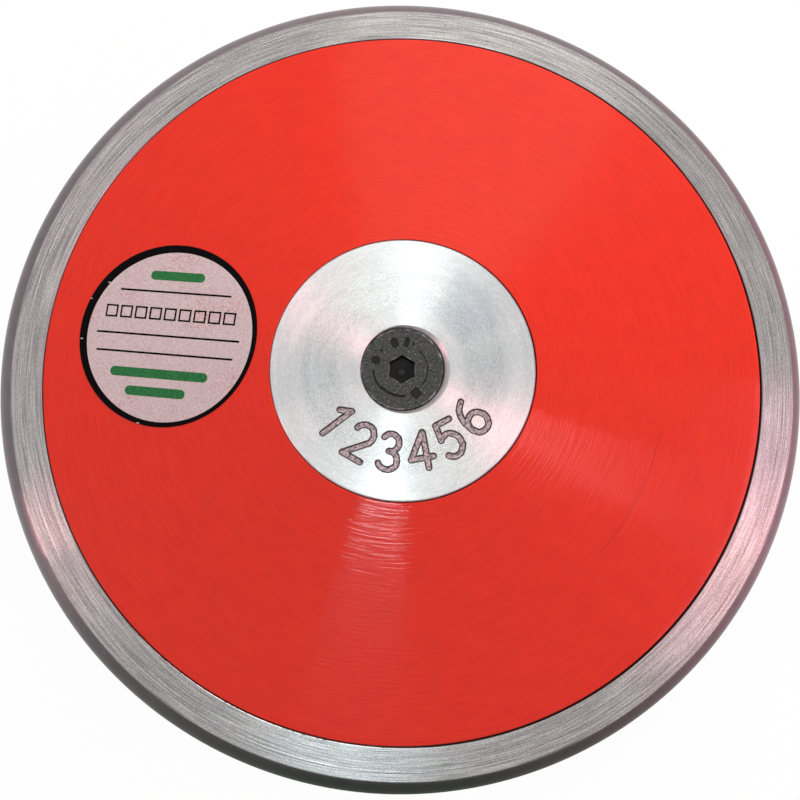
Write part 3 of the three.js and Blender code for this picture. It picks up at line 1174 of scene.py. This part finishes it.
side_plate = side_plate_mesh()
hub_plate = hub_plate_mesh()
marked_hub_plate = engraved(hub_plate.copy(), numeral_tools())
screw = screw_mesh()
for side, hub in (("upper", marked_hub_plate), ("lower", hub_plate)):
    # name, mesh, finishes, node, slot, place beside the spin axis
    pieces = (
        ("red_plate", side_plate, [red], "side_plate", "red_plastic", PLATE_SHIFT),
        ("hub", hub, hub_finishes, "hub_plate", "hub_aluminium", HUB_SHIFT),
        ("screw", screw, screw_finishes, "centre_screw", "black_screw", (0, 0)),
    )
    for name, mesh, finishes, node, slot, shift in pieces:
        place(f"{side}_{name}", mesh, finishes, f"{side}_{node}", side == "lower", shift)

place("sticker", sticker_mesh(), [paper, black_ink], shift=PLATE_SHIFT)
place("sticker_print", print_mesh(), [black_ink, green_ink, paper], shift=PLATE_SHIFT)

inner_finishes = {"centre_spacer": plain_steel, "balance_washer": plain_steel, "pad": pad_rubber()}
for name, node in frame["nodes"].items():
    for part, finish in inner_finishes.items():
        if part in name:
            node.data.materials.clear()
            node.data.materials.append(finish)

# Camera: the photograph's place, tilt and lens, in degrees and millimetres

CAMERA_TILT = 9.2
CAMERA_AZIMUTH = -93.87
CAMERA_DISTANCE = 295.7
CAMERA_TARGET = Vector((-0.22, -3.49, HALF_THICKNESS))
CAMERA_LENS = 63.98
CAMERA_SENSOR = 36
CAMERA_NEAR_LIMIT = 10


def direction(azimuth, tilt):
    """A unit vector tilted from straight up, towards an azimuth from +X, both in degrees."""
    up = math.cos(math.radians(tilt))
    return Vector((*on_circle(math.sin(math.radians(tilt)), azimuth), up))


def aimed(target, back, distance, upright):
    """A place that looks at target from a distance back, with upright pointing up in its picture."""
    right = upright.cross(back).normalized()
    turn = Matrix((right, back.cross(right), back)).transposed()
    return Matrix.Translation((target + back * distance) * MM) @ turn.to_4x4()


def camera():
    data = bpy.data.cameras.new("camera")
    data.lens = CAMERA_LENS
    data.sensor_width = CAMERA_SENSOR
    data.clip_start = CAMERA_NEAR_LIMIT * MM
    piece = linked("camera", data)
    back = direction(CAMERA_AZIMUTH, CAMERA_TILT)
    piece.matrix_world = aimed(CAMERA_TARGET, back, CAMERA_DISTANCE, Vector((0, 1, 0)))
    bpy.context.scene.camera = piece


# Stage and light

WORLD_FILL = 0.33
FLOOR_GLOW = 0.97
FLOOR_PAINT = (0.85, 0.85, 0.85, 1)
FLOOR_HALF = 3000
FLOOR_DROP = 0.02


def seen(nodes):
    """One where the camera, or a mirror or glass surface, sees this; zero for other light."""
    path = nodes.add("LightPath").outputs
    either = nodes.math("MAXIMUM", path["Is Camera Ray"], path["Is Glossy Ray"])
    return nodes.math("MAXIMUM", either, path["Is Transmission Ray"])


def glowing(shader, shown):
    return shader.add("Emission", {"Color": shown, "Strength": 1}).outputs[0]


def floor():
    mesh = bpy.data.meshes.new("floor")
    corners = [(x * FLOOR_HALF * MM, y * FLOOR_HALF * MM, 0) for x, y in SQUARE]
    mesh.from_pydata(corners, [], [(0, 1, 2, 3)])
    piece = linked("floor", mesh)
    piece.location.z = -FLOOR_DROP * MM
    shader = Shader("floor_white")
    matt = shader.add("BsdfDiffuse", {"Color": FLOOR_PAINT}).outputs[0]
    lit = shader.add("MixShader", {0: FLOOR_GLOW, 1: matt, 2: glowing(shader, WHITE)}).outputs[0]
    both = shader.add("MixShader", {0: seen(shader), 1: matt, 2: lit}).outputs[0]
    mesh.materials.append(shader.show(both))


FLAG_GAP = 0.5  # beside the rim's edge and over the floor
FLAG_RADIUS = 128
FLAG_HEIGHT = 62
FLAG_MIDDLE = math.radians(270)
FLAG_HALF = math.radians(67)
FLAG_STEPS = 48
FLAG_DARK = (0.185, 0.24, 0.205, 1)


def flag():
    """A dark card round the front of the discus, out of view, that darkens only what the rim mirrors.
    Towards its two ends it fades to the white of the studio."""
    card = bmesh.new()
    profile = ((OUTSIDE_RADIUS + FLAG_GAP, FLAG_GAP), (FLAG_RADIUS, FLAG_GAP), (FLAG_RADIUS, FLAG_HEIGHT))
    rows = []
    for step in range(FLAG_STEPS + 1):
        angle = FLAG_MIDDLE + FLAG_HALF * (2 * step / FLAG_STEPS - 1)
        across, up = math.cos(angle) * MM, math.sin(angle) * MM
        rows.append([card.verts.new((radius * across, radius * up, z * MM)) for radius, z in profile])
    for near, far in zip(rows, rows[1:]):
        for index in range(len(profile) - 1):
            card.faces.new((near[index], far[index], far[index + 1], near[index + 1]))
    piece = linked("flag", to_mesh(card, "flag"))
    piece.visible_camera = False
    piece.visible_diffuse = False
    piece.visible_shadow = False
    piece.visible_transmission = False
    shader = Shader("dark_card")
    facing = shader.towards(shader.polar(), FLAG_MIDDLE)
    shade = shader.mix(shader.map(facing, 1, math.cos(FLAG_HALF)), FLAG_DARK, WHITE)
    piece.data.materials.append(shader.show(glowing(shader, shade)))


def world():
    studio = bpy.data.worlds.new("studio")
    bpy.context.scene.world = studio
    studio.use_nodes = True
    nodes = Nodes(studio.node_tree)
    background = nodes.tree.nodes["Background"].inputs
    nodes.feed(background["Color"], WHITE)
    nodes.feed(background["Strength"], nodes.map(seen(nodes), 0, 1, WORLD_FILL, 1))


LAMP_DISTANCE = 1000
LAMPS = (
    # name, azimuth from +X, angle from straight up, width and length in mm, watts, colour, seen in metal
    ("key", 78, 49, 560, 640, 0.68, (1, 0.94, 0.88), True),
    ("above", 88, 18, 230, 190, 0.48, (1, 1, 0.94), True),
    ("flash", 258.7, 15, 130, 60, 1.02, (0.71, 0.93, 1), True),
    ("right", 354, 23, 150, 360, 0.92, (1, 0.38, 0.38), True),
    ("right_high", 346, 56, 720, 420, 2.5, (1, 0.47, 0.68), True),
    ("left", 198, 61, 310, 150, 2, (1, 0.5, 0.55), True),
    ("soft", 68, 62, 720, 720, 10, (1, 1, 1), False),
)


def lamps():
    """Softboxes that face the discus, with their length towards the zenith."""
    centre = Vector((0, 0, HALF_THICKNESS))
    for name, azimuth, tilt, width, length, watts, tint, glossy in LAMPS:
        data = bpy.data.lights.new(name, "AREA")
        data.shape = "RECTANGLE"
        data.size = width * MM
        data.size_y = length * MM
        data.energy = watts
        data.color = tint
        piece = linked(name, data)
        piece.visible_glossy = glossy
        piece.matrix_world = aimed(centre, direction(azimuth, tilt), LAMP_DISTANCE, Vector((0, 0, 1)))


camera()
floor()
flag()
world()
lamps()
bpy.context.scene.view_settings.view_transform = "Standard"
